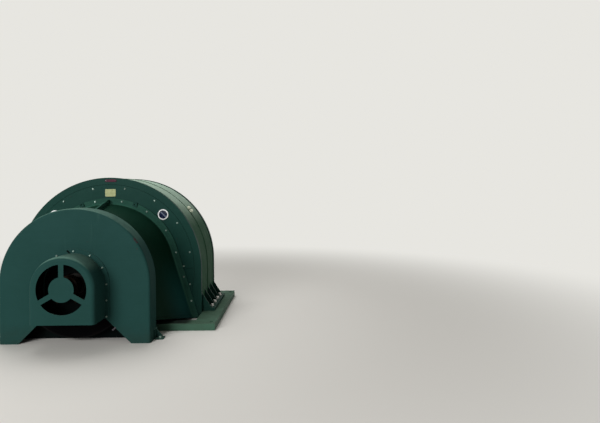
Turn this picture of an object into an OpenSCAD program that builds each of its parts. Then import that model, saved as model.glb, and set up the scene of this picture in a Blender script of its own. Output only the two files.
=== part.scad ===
// Horizontal hydroelectric generator with flywheel end, everything above the floor line.
// Millimetres. X runs across the machine, Y along the shaft from the slip-ring end to the
// coupling end, Z up. The origin is on the floor, under the middle of the whole machine.

/* [Shaft line] */
// Height of the shaft axis above the floor
axis_h = 604; // [590:1:700]
// Radius of the shaft where the slip rings sit
shaft_tip_r = 70; // [50:1:80]
// Radius of the shaft in the flywheel and the two bearings
shaft_journal_r = 110; // [90:1:125]
// Radius of the shaft inside the stator
shaft_core_r = 140; // [130:1:170]
// Length of bare shaft behind the rear hood, up to the coupling flange
shaft_end_len = 110; // [60:1:200]
// Running clearance round the shaft where it passes through a wall
shaft_clear = 8; // [3:0.5:20]
// Gap between two turned pieces that sit in or on each other
fit_gap = 0.3; // [0.2:0.05:0.6]

/* [Slip ring cover] */
// Outer radius of the arched top of the cover
tip_cover_r = 318; // [300:1:340]
// How far the cover stands out from the flywheel cover
tip_cover_depth = 286; // [220:1:400]
// Height of the flat underside of the cover above the cut-out in the flywheel cover
tip_cover_lift = 8; // [6:1:20]
// Sheet thickness of the cover
tip_cover_sheet = 8; // [4:0.5:12]
// Radius of the rounded front edge
tip_cover_edge_r = 40; // [20:1:60]
// Width of the plain border round the vent in the front face
vent_border = 74; // [60:1:90]
// Radius of the solid disc in the middle of the vent
vent_hub_r = 122; // [100:1:140]
// Width of the three spokes that carry the disc
vent_spoke_w = 50; // [30:1:60]
// Width of the bolting flange round the cover
tip_flange_w = 44; // [30:1:60]
// Thickness of that flange
tip_flange_t = 10; // [6:1:20]

/* [Flywheel cover] */
// Outer radius of the arch, and half the width of the straight sides
wheel_cover_r = 770; // [740:1:800]
// Depth of the cover along the shaft
wheel_cover_depth = 210; // [190:1:300]
// Sheet thickness of the cover
wheel_cover_sheet = 8; // [5:0.5:12]
// Radius of the rounded front edge
wheel_cover_edge_r = 24; // [14:1:40]
// Height of the cut-out at the floor
cutout_h = 257; // [220:1:262]
// Width of the cut-out at its top
cutout_top_w = 631; // [560:1:700]
// Width of the cut-out at the floor
cutout_floor_w = 1148; // [1000:1:1240]
// Length of each foot bracket along the shaft
foot_len = 90; // [60:1:120]
// How far each foot bracket reaches out sideways
foot_reach = 95; // [70:1:120]
// Height of the gusset on each foot bracket
foot_h = 105; // [80:1:140]
// Plate thickness of the foot brackets
foot_t = 12; // [8:1:16]

/* [Flywheel] */
// Clearance between the flywheel and the floor
wheel_floor_gap = 44; // [30:1:70]
// Width of the flywheel rim along the shaft
wheel_rim_w = 120; // [90:1:130]
// Radial depth of the rim
wheel_rim_d = 120; // [90:1:150]
// Thickness of the web between rim and hub
wheel_web_t = 50; // [30:1:80]
// Outer radius of the hub
wheel_hub_r = 180; // [160:1:200]

/* [Slip rings] */
// Distance from the front face of the cover to the tip of the shaft
ring_setback = 86; // [60:1:100]
// Thickness of the insulating sleeve that carries the rings
sleeve_t = 18; // [12:1:24]
// Height of each ring above the sleeve
ring_h = 24; // [16:1:28]
// Width of each ring
ring_w = 34; // [24:1:38]
// Gap between the two rings
ring_gap = 26; // [18:1:30]
// Radius of the rods that carry the brush boxes
brush_rod_r = 9; // [7:0.5:12]
// Width of each brush box
brush_box_w = 30; // [24:1:36]
// Height of each brush box
brush_box_h = 64; // [56:1:72]
// Angle of the rods from straight down
brush_angle = 35; // [25:1:50]

/* [Hoods] */
// Length of the front hood from the flywheel cover to the stator
hood_len = 770; // [740:1:840]
// Length of the rear hood
rear_hood_len = 330; // [260:1:420]
// Radius of the hood body where it meets its flange
hood_r = 778; // [765:1:790]
// Radius of the hood body at its nose
hood_nose_r = 590; // [560:1:610]
// Radius of the fillet between the body and its flange
hood_fillet_r = 36; // [30:1:46]
// Width of the bolting flange outside the body
hood_flange_w = 79; // [74:1:90]
// Thickness of the bolting flange
hood_flange_t = 18; // [12:1:25]
// Angle at which the sides run outward below the arch
hood_flare_angle = 17; // [12:0.5:19]
// Radius of the rounded bottom corners
hood_corner_r = 44; // [30:1:46]
// Height of the underside of the flange above the floor
hood_flange_foot = 8; // [5:1:20]
// Height of the underside of the nose above the floor
hood_nose_foot = 180; // [160:1:220]
// Height of the bolted ridge along the crest, where the two halves of a hood meet
ridge_h = 60; // [40:1:66]
// Thickness of the ridge on each half
ridge_t = 12; // [8:1:16]
// Distance from the end of the ridge to the nose of the hood
ridge_gap = 24; // [16:1:40]
// Length of each bearing along the shaft
bearing_len = 200; // [140:1:240]
// Outer radius of the bearing shell
bearing_r = 185; // [170:1:200]
// Thickness of the cap on the rear bearing
bearing_cap_t = 30; // [20:1:40]
// Width of that cap outside the bearing
bearing_cap_w = 65; // [50:1:80]

/* [Stator] */
// Width of each end ring that shows outside its end shield
ring_band_w = 85; // [70:1:100]
// Length of the stator between the faces of its end rings
stator_len = 970; // [900:1:1100]
// Thickness of each end ring
end_ring_t = 60; // [45:1:80]
// Step down from the end rings to the wrapper
wrapper_step = 8; // [4:1:14]
// Width of the strap over the seam of the wrapper
strap_w = 46; // [30:1:60]
// Thickness of that strap
strap_t = 6; // [3:0.5:8]
// Angle of the strap's clamps from the vertical
clamp_angle = 51.5; // [40:0.5:60]
// Length of each clamp block round the strap
clamp_block_l = 26; // [20:1:32]
// Height of each clamp block
clamp_block_h = 34; // [28:1:40]
// Gap between the two blocks of a clamp
clamp_gap = 22; // [16:1:28]
// Radius of the clamp bolts
clamp_bolt_r = 8; // [6:0.5:10]
// How far the clamp bolts stand out of their blocks
clamp_bolt_end = 12; // [8:1:16]
// Width of the end shield that shows outside the hood's flange
shield_band_w = 163; // [150:1:180]
// Thickness of the end shields
shield_t = 22; // [14:1:30]
// Width of the groove round and between the end shields
shield_groove = 3; // [1.5:0.5:5]
// Radius of the window frames
window_r = 64; // [56:1:68]
// Space between a window and the hood's flange
window_margin = 2; // [2:0.5:8]
// Width of the window frames
window_frame_w = 20; // [14:1:24]
// Chamfer on the edges of the window frames
window_chamfer = 4; // [2:0.5:5]
// How far the window frames stand out
window_t = 14; // [8:1:20]
// Angle of the windows from the vertical
window_angle = 45; // [40:0.5:50]
// Reach of the stator feet beyond the sides
stator_foot_w = 150; // [110:1:180]
// Thickness of the stator feet
stator_foot_t = 36; // [25:1:50]
// Number of gussets on each stator foot
gusset_count = 5; // [3:1:7]
// Height of those gussets
gusset_h = 190; // [140:1:240]

/* [Lugs] */
// Angle of the lifting lugs on the hood flanges from the vertical
lug_angle = 22.5; // [18:0.5:26]
// Radius of the rounded lug
lug_r = 26; // [20:1:27]
// Radius of the hole in each lug
lug_hole_r = 12; // [8:1:14]
// Gap between the lugs and the fillet of the hood
lug_gap = 1; // [0.5:0.5:2]
// Thickness of each lug
lug_t = 16; // [12:1:24]

/* [Coupling] */
// Outer radius of the coupling flange
coupling_r = 250; // [235:1:280]
// Thickness of the coupling flange
coupling_t = 70; // [50:1:90]
// Distance from the middle of its bolt holes to its edge
coupling_edge = 50; // [40:1:60]
// Radius of its bolt holes
coupling_hole_r = 18; // [12:0.5:22]
// Number of its bolt holes
coupling_holes = 8; // [6:1:12]

/* [Bedplate] */
// Height of the bedplate
bed_h = 73; // [60:1:80]
// Width of the two side rails
bed_rail_w = 240; // [220:1:300]
// Gap between the rails and what stands between them
bed_rail_gap = 6; // [3:0.5:12]
// Width of the front beam along the shaft
bed_front_w = 170; // [120:1:200]
// Width of the rear beam along the shaft
bed_rear_w = 60; // [50:1:100]
// How far the bedplate reaches in front of the stator
bed_front_reach = 540; // [480:1:560]
// How far the bedplate reaches behind the stator
bed_rear_reach = 300; // [240:1:380]
// Radius of the foundation bolt holes
anchor_hole_r = 20; // [14:0.5:24]
// Distance from the bolt holes to the outer edge of the rails
anchor_side_gap = 50; // [45:1:60]
// Distance from the bolt holes to the ends of the rails
anchor_end_gap = 90; // [60:1:120]

/* [Hidden] */
$fn = 96;
// Small step that lets a cutter run past the face that it cuts
cut_over = 1;
// How far a fillet's arc runs into its neighbours, so that their faces cross
fillet_bite = 0.4;
machine_len = tip_cover_depth + wheel_cover_depth + hood_len + stator_len + rear_hood_len
    + shaft_end_len + coupling_t;
tip_face_y = -machine_len / 2;
wheel_front_y = tip_face_y + tip_cover_depth;
wheel_back_y = wheel_front_y + wheel_cover_depth;
stator_front_y = wheel_back_y + hood_len;
stator_back_y = stator_front_y + stator_len;
rear_nose_y = stator_back_y + rear_hood_len;
coupling_y = rear_nose_y + shaft_end_len;
end_y = coupling_y + coupling_t;

// Slip ring end
tip_foot = cutout_h + tip_cover_lift;
vent_r = tip_cover_r - vent_border;
shaft_tip_y = tip_face_y + ring_setback;
sleeve_r = shaft_tip_r + sleeve_t;
ring_r = sleeve_r + ring_h;
sleeve_len = 2 * ring_w + 3 * ring_gap;
wheel_r = axis_h - wheel_floor_gap;
wheel_y = wheel_front_y + wheel_cover_depth / 2;
wall_hole_r = shaft_journal_r + shaft_clear;

// Hoods and stator, each built outward from the radius of the one inside it
hood_flange_r = hood_r + hood_flange_w;
shield_r = hood_flange_r + shield_band_w;
stator_r = shield_r + ring_band_w;
wrapper_r = stator_r - wrapper_step;
window_glass_r = window_r - window_frame_w;
lug_place_r = hood_r + hood_fillet_r + lug_gap + lug_r;
// The flange keeps the fillet inside its rounded corners
flange_corner_r = min(hood_corner_r, (hood_flange_w - hood_fillet_r) / (1 + sin(hood_flare_angle)) - 1);
window_place_r = hood_flange_r + window_margin + window_r;
seam_y = (stator_front_y + stator_back_y) / 2;
strap_foot = bed_h + stator_foot_t + gusset_h;
core_bore_r = shaft_core_r + shaft_clear;
bearing_bore_r = bearing_r + fit_gap;

// Bedplate, whose rails stand clear of the stator and of the hoods' flared flanges
rail_inner_x = max(stator_r, bell_side(hood_flange_r, hood_flare_angle, hood_flange_foot))
    + bed_rail_gap;
bed_half_w = rail_inner_x + bed_rail_w;
bed_front_y = stator_front_y - bed_front_reach;
bed_back_y = stator_back_y + bed_rear_reach;
// The front beam ends where the underside of the hood comes down to it
hood_rise = (hood_nose_foot - hood_flange_foot) / (hood_len - hood_flange_t);
front_beam_w = min(bed_front_w, bed_front_reach - hood_flange_t
    - (bed_h + bed_rail_gap - hood_flange_foot) / hood_rise);
anchor_x = bed_half_w - anchor_side_gap;
anchor_front_y = bed_front_y + anchor_end_gap;
anchor_back_y = bed_back_y - anchor_end_gap;
green = [0.26, 0.40, 0.37];
deep_green = [0.18, 0.32, 0.28];
pale_green = [0.50, 0.60, 0.54];
steel = [0.62, 0.63, 0.62];

// Extrudes an outline, drawn in X and height above the floor, from y0 over a thickness t.
module slab(y0, t) {
    translate([0, y0 + t, 0]) rotate([90, 0, 0]) linear_extrude(height = t) children();
}

// Turns a profile, drawn as radius and distance along the shaft from y0, round the shaft.
module turned(y0) {
    translate([0, y0, axis_h]) rotate([-90, 0, 0]) rotate_extrude() children();
}

// Plain cylinder on the shaft line.
module round_bar(y0, len, r) {
    translate([0, y0, axis_h]) rotate([-90, 0, 0]) cylinder(h = len, r = r);
}

// Arch outline: half a circle on the shaft axis over straight sides that end at foot.
module arch(r, foot) {
    intersection() {
        translate([0, axis_h]) circle(r = r);
        translate([-r, axis_h]) square([2 * r, r]);
    }
    translate([-r, foot]) square([2 * r, axis_h - foot]);
}

// Half the width of a bell outline at its foot, before its corner is rounded.
function bell_side(r, flare, foot) =
    r * cos(flare) + (axis_h + r * sin(flare) - foot) * tan(flare);

// Bell outline: an arc on the shaft axis that runs on into sides sloping outward by flare,
// with rounded bottom corners at the height foot.
module bell(r, flare, foot, corner) {
    shoulder = [r * cos(flare), axis_h + r * sin(flare)];
    corner_x = bell_side(r, flare, foot) - corner * (1 + sin(flare)) / cos(flare);
    turn = [corner_x + corner * cos(flare), foot + corner + corner * sin(flare)];
    intersection() {
        translate([0, axis_h]) circle(r = r);
        translate([-r, foot]) square([2 * r, axis_h + r - foot]);
    }
    polygon([
        [-corner_x, foot], [corner_x, foot], turn, shoulder,
        [-shoulder[0], shoulder[1]], [-turn[0], turn[1]]
    ]);
    for (side = [-1, 1]) translate([side * corner_x, foot + corner]) circle(r = corner);
}

// Half of a level section through a cover: x is the distance from its middle plane and y the
// distance behind its front face, with the front edge rounded.
module edge_section(r, depth, edge) {
    square([r - edge, depth]);
    translate([0, edge]) square([r, depth - edge]);
    translate([r - edge, edge]) circle(r = edge);
}

// Solid block of a cover: the section turned into an arch over straight sides down to foot.
module cover_block(y0, r, depth, edge, foot) {
    translate([0, y0, axis_h]) rotate([-90, 0, 0]) rotate([0, 0, 180])
        rotate_extrude(angle = 180) intersection() {
            edge_section(r, depth, edge);
            square([r, depth]);
        }
    translate([0, y0, foot]) linear_extrude(height = axis_h - foot) {
        edge_section(r, depth, edge);
        mirror([1, 0]) edge_section(r, depth, edge);
    }
}

// Half space to the right of the middle plane, as a cutter of the machine's size.
module half_space() {
    size = 2 * machine_len;
    translate([0, -size / 2, -size / 2]) cube(size);
}

// Beam across one end of the bedplate, between the rails.
module bedplate_beam(y0, width) {
    color(pale_green) translate([-rail_inner_x, y0, 0]) cube([2 * rail_inner_x, width, bed_h]);
}

module bedplate_rail(side) {
    color(pale_green) difference() {
        translate([side < 0 ? -bed_half_w : rail_inner_x, bed_front_y, 0])
            cube([bed_rail_w, bed_back_y - bed_front_y, bed_h]);
        for (y = [anchor_front_y, anchor_back_y])
            translate([side * anchor_x, y, -cut_over])
                cylinder(h = bed_h + 2 * cut_over, r = anchor_hole_r);
    }
}

// End ring of the stator: a thick plate with a round recess in its outer face for the shields.
module end_ring(y0, recess_y) {
    color(green) difference() {
        slab(y0, end_ring_t) arch(stator_r, 0);
        round_bar(recess_y, shield_t + cut_over, shield_r + shield_groove);
        round_bar(y0 - cut_over, end_ring_t + 2 * cut_over, core_bore_r);
    }
}

module stator_front_ring() {
    end_ring(stator_front_y, stator_front_y - cut_over);
}

module stator_rear_ring() {
    end_ring(stator_back_y - end_ring_t, stator_back_y - shield_t);
}

module wrapper(y0, y1) {
    color(pale_green) difference() {
        slab(y0, y1 - y0) arch(wrapper_r, 0);
        round_bar(y0 - cut_over, y1 - y0 + 2 * cut_over, core_bore_r);
    }
}

module stator_wrapper_front() {
    wrapper(stator_front_y + end_ring_t, seam_y);
}

module stator_wrapper_rear() {
    wrapper(seam_y, stator_back_y - end_ring_t);
}

module stator_wrapper_strap() {
    color(pale_green) slab(seam_y - strap_w / 2, strap_w) difference() {
        arch(wrapper_r + strap_t, strap_foot);
        arch(wrapper_r, strap_foot - cut_over);
    }
}

// Clamp that draws the two ends of the strap together: two blocks and a bolt through them.
module strap_clamp(side) {
    bolt_len = clamp_gap + 2 * (clamp_block_l + clamp_bolt_end);
    translate([0, seam_y, axis_h]) rotate([0, side * clamp_angle, 0])
        translate([0, 0, wrapper_r + strap_t]) {
            for (x = [-clamp_gap / 2 - clamp_block_l, clamp_gap / 2])
                translate([x, -strap_w / 2, 0]) cube([clamp_block_l, strap_w, clamp_block_h]);
            translate([-bolt_len / 2, 0, clamp_block_h / 2]) rotate([0, 90, 0])
                cylinder(h = bolt_len, r = clamp_bolt_r, $fn = 32);
        }
}

module strap_clamps() {
    color(steel) for (side = [-1, 1]) strap_clamp(side);
}

module stator_foot(side) {
    foot_y0 = stator_front_y + end_ring_t;
    foot_y1 = stator_back_y - end_ring_t;
    rib_t = stator_foot_t / 2;
    color(green) mirror([side < 0 ? 1 : 0, 0, 0]) {
        translate([wrapper_r, foot_y0, bed_h])
            cube([stator_foot_w + wrapper_step, foot_y1 - foot_y0, stator_foot_t]);
        for (i = [0 : gusset_count - 1])
            translate([wrapper_r, foot_y0 + rib_t + i * (foot_y1 - foot_y0 - rib_t) / (gusset_count - 1),
                bed_h + stator_foot_t])
                rotate([90, 0, 0]) linear_extrude(height = rib_t)
                    polygon([[0, 0], [stator_foot_w * 0.8, 0], [0, gusset_h]]);
    }
}

// Half of an end shield, above (part = 1) or below (part = -1) the joint at shaft level.
module end_shield(y0, part) {
    color(green) difference() {
        slab(y0, shield_t) intersection() {
            translate([0, axis_h]) circle(r = shield_r, $fn = 128);
            translate([-shield_r, part > 0 ? axis_h + shield_groove / 2 : 0])
                square([2 * shield_r, part > 0 ? shield_r : axis_h - shield_groove / 2]);
        }
        round_bar(y0 - cut_over, shield_t + 2 * cut_over, core_bore_r);
    }
}

// Puts a piece on the front face of the stator at the place of a window.
module at_window(side) {
    translate([side * window_place_r * sin(window_angle), stator_front_y,
        axis_h + window_place_r * cos(window_angle)]) rotate([90, 0, 0]) children();
}

module window_frame(side) {
    inner = window_glass_r + fit_gap;
    edge_y = window_t - window_chamfer;
    color([0.85, 0.87, 0.85]) at_window(side) rotate_extrude() polygon([
        [inner, 0], [window_r, 0], [window_r, edge_y], [window_r - window_chamfer, window_t],
        [inner + window_chamfer, window_t], [inner, edge_y]
    ]);
}

module window_glass(side) {
    color([0.10, 0.14, 0.22]) at_window(side) cylinder(h = window_t / 2, r = window_glass_r);
}

// Half section through a hood body: x is the radius and y the distance from the stator. The body
// tapers from the end of the fillet at its flange to its nose.
module hood_section(len) {
    polygon([[0, 0], [hood_r, 0], [hood_r, hood_flange_t + hood_fillet_r], [hood_nose_r, len], [0, len]]);
}

// The section with its fillet, as the outside of the body.
module hood_profile(len) {
    hood_section(len);
    translate([hood_r, hood_flange_t]) difference() {
        translate([-cut_over, -cut_over]) square(hood_fillet_r + cut_over);
        translate([hood_fillet_r - fillet_bite, hood_fillet_r - fillet_bite])
            circle(r = hood_fillet_r, $fn = 64);
    }
}

// Right side of a hood body from its flange at y = 0 to its nose, leaning outward with the flare:
// the profile run up round the arch past the crest, and straight down past the middle plane.
module hood_body(len) {
    reach = 2 * axis_h;
    translate([0, 0, axis_h]) rotate([0, -hood_flare_angle, 0]) {
        mirror([0, 0, 1]) rotate([-90, 0, 0]) rotate_extrude(angle = 90) hood_profile(len);
        translate([0, 0, -reach]) linear_extrude(height = reach) {
            hood_profile(len);
            translate([-hood_nose_r / 2, 0]) square([hood_nose_r, len]);
        }
    }
}

// Ridge along the crest, standing ridge_h above the body on each side of the split.
module hood_ridge(len) {
    translate([ridge_t, 0, axis_h]) rotate([0, -90, 0]) linear_extrude(height = 2 * ridge_t)
        intersection() {
            translate([ridge_h, 0]) hood_section(len);
            translate([hood_nose_r / 2, -cut_over]) square([hood_r, len - ridge_gap + cut_over]);
        }
}

// What lies below the underside of a hood, which rises from the flange to the nose.
module hood_underside(len) {
    depth = 4 * axis_h;
    rise = (hood_nose_foot - hood_flange_foot) / (len - hood_flange_t);
    translate([-2 * hood_flange_r, 0, 0]) rotate([90, 0, 90])
        linear_extrude(height = 4 * hood_flange_r) polygon([
            [-cut_over, -depth], [len + axis_h, -depth],
            [len + axis_h, hood_nose_foot + rise * axis_h],
            [hood_flange_t, hood_flange_foot], [-cut_over, hood_flange_foot]
        ]);
}

// Half of a hood with its flange at y = 0, right of the middle plane, or mirrored to the left.
module hood_half(len, side) {
    mirror([side < 0 ? 1 : 0, 0, 0]) difference() {
        intersection() {
            union() {
                difference() {
                    union() {
                        hood_body(len);
                        hood_ridge(len);
                    }
                    hood_underside(len);
                }
                slab(0, hood_flange_t)
                    bell(hood_flange_r, hood_flare_angle, hood_flange_foot, flange_corner_r);
            }
            half_space();
        }
        round_bar(-cut_over, len + 2 * cut_over, core_bore_r);
        round_bar(len - bearing_len, bearing_len + cut_over, bearing_bore_r);
    }
}

module front_hood(side) {
    color(deep_green) translate([0, stator_front_y, 0]) mirror([0, 1, 0]) hood_half(hood_len, side);
}

module rear_hood(side) {
    color(deep_green) translate([0, stator_back_y, 0]) hood_half(rear_hood_len, side);
}

// Bearing: a thick shell between the shaft journal and the bore of the hood.
module bearing(y0) {
    color(steel) difference() {
        round_bar(y0, bearing_len, bearing_r);
        round_bar(y0 - cut_over, bearing_len + 2 * cut_over, shaft_journal_r + fit_gap);
    }
}

module rear_bearing_cap() {
    cap_r = bearing_r + bearing_cap_w;
    chamfer = bearing_cap_t / 3;
    color(deep_green) turned(rear_nose_y) polygon([
        [wall_hole_r, 0], [cap_r, 0], [cap_r, bearing_cap_t - chamfer],
        [cap_r - chamfer, bearing_cap_t], [wall_hole_r, bearing_cap_t]
    ]);
}

// Lug with a hole, standing on the outer edge of the front hood's flange.
module lifting_lug(side) {
    color(steel) translate([0, stator_front_y - hood_flange_t, axis_h])
        rotate([0, side * lug_angle, 0]) translate([0, 0, lug_place_r])
            rotate([90, 0, 0]) linear_extrude(height = lug_t) difference() {
                union() {
                    circle(r = lug_r);
                    translate([-lug_r, -lug_r]) square([2 * lug_r, lug_r]);
                }
                circle(r = lug_hole_r);
            }
}

module cutout_outline() {
    polygon([
        [-cutout_floor_w / 2, -cut_over], [cutout_floor_w / 2, -cut_over], [cutout_floor_w / 2, 0],
        [cutout_top_w / 2, cutout_h], [-cutout_top_w / 2, cutout_h], [-cutout_floor_w / 2, 0]
    ]);
}

// Rim of the flywheel cover: the block hollowed out, and open where the flat front sits.
module flywheel_cover_rim() {
    sheet = wheel_cover_sheet;
    color(pale_green) difference() {
        cover_block(wheel_front_y, wheel_cover_r, wheel_cover_depth, wheel_cover_edge_r, 0);
        cover_block(wheel_front_y + sheet, wheel_cover_r - sheet, wheel_cover_depth,
            wheel_cover_edge_r - sheet, -cut_over);
        slab(wheel_front_y - cut_over, sheet + 2 * cut_over)
            arch(wheel_cover_r - wheel_cover_edge_r, -cut_over);
    }
}

// Flat front of the flywheel cover, inside its rounded edge, cut out at the floor.
module flywheel_cover_front() {
    color(green) slab(wheel_front_y, wheel_cover_sheet) difference() {
        arch(wheel_cover_r - wheel_cover_edge_r, 0);
        cutout_outline();
        translate([0, axis_h]) circle(r = wall_hole_r);
    }
}

module flywheel_cover_back() {
    color(deep_green) slab(wheel_back_y - wheel_cover_sheet, wheel_cover_sheet) difference() {
        arch(wheel_cover_r - wheel_cover_sheet, 0);
        translate([0, axis_h]) circle(r = wall_hole_r);
    }
}

module flywheel_cover_foot(side) {
    color(green) mirror([side < 0 ? 1 : 0, 0, 0])
        translate([wheel_cover_r, wheel_back_y - foot_len, 0]) {
            cube([foot_reach, foot_len, foot_t]);
            cube([foot_t, foot_len, foot_h]);
            translate([0, (foot_len + foot_t) / 2, 0]) rotate([90, 0, 0])
                linear_extrude(height = foot_t)
                    polygon([[0, 0], [foot_reach, 0], [foot_reach, foot_t], [foot_t, foot_h], [0, foot_h]]);
        }
}

// Openings of the round vent: a ring cut into three by the spokes that carry its middle disc,
// one spoke upright and two at a third of a turn from it.
module vent_openings() {
    translate([0, axis_h]) difference() {
        circle(r = vent_r);
        circle(r = vent_hub_r);
        for (turn = [0, 120, 240]) rotate(turn)
            translate([-vent_spoke_w / 2, 0]) square([vent_spoke_w, vent_r + cut_over]);
    }
}

// Slip ring cover: a closed-bottomed shell with the vent cut in its face, and its flange.
module slip_ring_cover() {
    sheet = tip_cover_sheet;
    color(green) difference() {
        union() {
            cover_block(tip_face_y, tip_cover_r, tip_cover_depth, tip_cover_edge_r, tip_foot);
            slab(wheel_front_y - tip_flange_t, tip_flange_t) arch(tip_cover_r + tip_flange_w, tip_foot);
        }
        cover_block(tip_face_y + sheet, tip_cover_r - sheet, tip_cover_depth,
            tip_cover_edge_r - sheet, tip_foot + sheet);
        slab(tip_face_y - cut_over, sheet + 2 * cut_over) vent_openings();
    }
}

// Shaft as one turned bar: slip ring seat, journals, thicker middle and coupling seat.
module shaft() {
    tip_seat_end = wheel_y - wheel_rim_w / 2 - shaft_tip_y;
    core_start = stator_front_y - shaft_tip_y;
    core_end = stator_back_y - shaft_tip_y;
    shaft_stop = end_y - shaft_tip_y;
    chamfer = (shaft_journal_r - shaft_tip_r) / 6;
    color(steel) turned(shaft_tip_y) polygon([
        [0, 0], [shaft_tip_r - chamfer, 0], [shaft_tip_r, chamfer],
        [shaft_tip_r, tip_seat_end], [shaft_journal_r, tip_seat_end],
        [shaft_journal_r, core_start], [shaft_core_r, core_start],
        [shaft_core_r, core_end], [shaft_journal_r, core_end],
        [shaft_journal_r, shaft_stop - chamfer], [shaft_journal_r - chamfer, shaft_stop],
        [0, shaft_stop]
    ]);
}

module flywheel() {
    half_w = wheel_rim_w / 2;
    half_web = wheel_web_t / 2;
    bore = shaft_journal_r + fit_gap;
    rim_in = wheel_r - wheel_rim_d;
    color([0.30, 0.31, 0.31]) turned(wheel_y) polygon([
        [bore, -half_w], [wheel_hub_r, -half_w], [wheel_hub_r, -half_web], [rim_in, -half_web],
        [rim_in, -half_w], [wheel_r, -half_w], [wheel_r, half_w], [rim_in, half_w],
        [rim_in, half_web], [wheel_hub_r, half_web], [wheel_hub_r, half_w], [bore, half_w]
    ]);
}

// Two rings on one sleeve, drawn as a single turned piece.
module slip_rings() {
    bore = shaft_tip_r + fit_gap;
    first = ring_gap;
    second = first + ring_w + ring_gap;
    color([0.60, 0.48, 0.30]) turned(shaft_tip_y) polygon([
        [bore, 0], [sleeve_r, 0], [sleeve_r, first], [ring_r, first], [ring_r, first + ring_w],
        [sleeve_r, first + ring_w], [sleeve_r, second], [ring_r, second],
        [ring_r, second + ring_w], [sleeve_r, second + ring_w], [sleeve_r, sleeve_len],
        [bore, sleeve_len]
    ]);
}

// Two rods that stand out from the flywheel cover below the rings, each with two brush boxes.
module brush_gear() {
    rod_drop = ring_r + fit_gap + brush_box_h / 2;
    color([0.45, 0.42, 0.38]) for (side = [-1, 1])
        translate([0, shaft_tip_y, axis_h]) rotate([0, side * brush_angle, 0])
            translate([0, 0, -rod_drop]) {
                rotate([-90, 0, 0])
                    cylinder(h = wheel_front_y - shaft_tip_y, r = brush_rod_r, $fn = 32);
                for (y = [ring_gap, 2 * ring_gap + ring_w])
                    translate([-brush_box_w / 2, y, -brush_box_h / 2])
                        cube([brush_box_w, ring_w, brush_box_h]);
            }
}

module coupling_flange() {
    color(steel) difference() {
        round_bar(coupling_y, coupling_t, coupling_r);
        round_bar(coupling_y - cut_over, coupling_t + 2 * cut_over, shaft_journal_r + fit_gap);
        for (i = [0 : coupling_holes - 1])
            translate([0, 0, axis_h]) rotate([0, i * 360 / coupling_holes, 0])
                translate([coupling_r - coupling_edge, coupling_y - cut_over, 0]) rotate([-90, 0, 0])
                    cylinder(h = coupling_t + 2 * cut_over, r = coupling_hole_r);
    }
}

bedplate_beam(bed_front_y, front_beam_w);  // bedplate_front_beam
bedplate_beam(bed_back_y - bed_rear_w, bed_rear_w);  // bedplate_rear_beam
bedplate_rail(-1);  // bedplate_left_rail
bedplate_rail(1);  // bedplate_right_rail
stator_front_ring();
stator_wrapper_front();
stator_wrapper_strap();
stator_wrapper_rear();
stator_rear_ring();
strap_clamps();
stator_foot(-1);  // stator_foot_left
stator_foot(1);  // stator_foot_right
end_shield(stator_front_y, 1);  // front_end_shield_upper
end_shield(stator_front_y, -1);  // front_end_shield_lower
end_shield(stator_back_y - shield_t, 1);  // rear_end_shield_upper
end_shield(stator_back_y - shield_t, -1);  // rear_end_shield_lower
window_frame(-1);  // window_frame_left
window_frame(1);  // window_frame_right
window_glass(-1);  // window_glass_left
window_glass(1);  // window_glass_right
front_hood(-1);  // front_hood_left
front_hood(1);  // front_hood_right
rear_hood(-1);  // rear_hood_left
rear_hood(1);  // rear_hood_right
lifting_lug(-1);  // lifting_lug_left
lifting_lug(1);  // lifting_lug_right
bearing(wheel_back_y);  // front_bearing
bearing(rear_nose_y - bearing_len);  // rear_bearing
rear_bearing_cap();
flywheel_cover_rim();
flywheel_cover_front();
flywheel_cover_back();
flywheel_cover_foot(-1);  // flywheel_cover_foot_left
flywheel_cover_foot(1);  // flywheel_cover_foot_right
slip_ring_cover();
shaft();
flywheel();
slip_rings();
brush_gear();
coupling_flange();
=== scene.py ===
"""Finishes and small fittings of a horizontal hydroelectric generator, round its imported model.

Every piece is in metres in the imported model's frame: X to the right seen from the slip ring end,
Y along the shaft towards the coupling, Z up from the floor.
"""

import logging
import math
import random
from collections.abc import Iterable, Iterator
from dataclasses import dataclass, field
from enum import Enum
from functools import cache

import bmesh
import bpy
from mathutils import Matrix, Vector


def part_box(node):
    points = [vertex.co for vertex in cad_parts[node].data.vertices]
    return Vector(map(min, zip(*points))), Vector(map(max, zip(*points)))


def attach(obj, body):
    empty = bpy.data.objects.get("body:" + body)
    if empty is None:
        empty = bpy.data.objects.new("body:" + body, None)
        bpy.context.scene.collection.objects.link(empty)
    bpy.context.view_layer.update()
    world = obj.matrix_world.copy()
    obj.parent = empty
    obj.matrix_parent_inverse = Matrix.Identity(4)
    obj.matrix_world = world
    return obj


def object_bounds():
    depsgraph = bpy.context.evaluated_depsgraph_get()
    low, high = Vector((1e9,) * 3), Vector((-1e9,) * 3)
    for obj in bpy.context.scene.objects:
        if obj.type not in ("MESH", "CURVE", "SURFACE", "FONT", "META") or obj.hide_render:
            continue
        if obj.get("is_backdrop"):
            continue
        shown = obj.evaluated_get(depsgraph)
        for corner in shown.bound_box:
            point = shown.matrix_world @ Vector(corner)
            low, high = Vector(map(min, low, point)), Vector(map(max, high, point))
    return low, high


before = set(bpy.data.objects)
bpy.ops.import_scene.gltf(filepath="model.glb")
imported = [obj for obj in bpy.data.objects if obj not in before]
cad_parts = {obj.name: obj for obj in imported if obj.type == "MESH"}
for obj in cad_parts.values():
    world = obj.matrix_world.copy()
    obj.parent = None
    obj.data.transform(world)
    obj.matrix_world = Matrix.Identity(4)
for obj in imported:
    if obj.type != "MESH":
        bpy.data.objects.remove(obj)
CAD_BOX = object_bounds()

log = logging.getLogger("generator")

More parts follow.
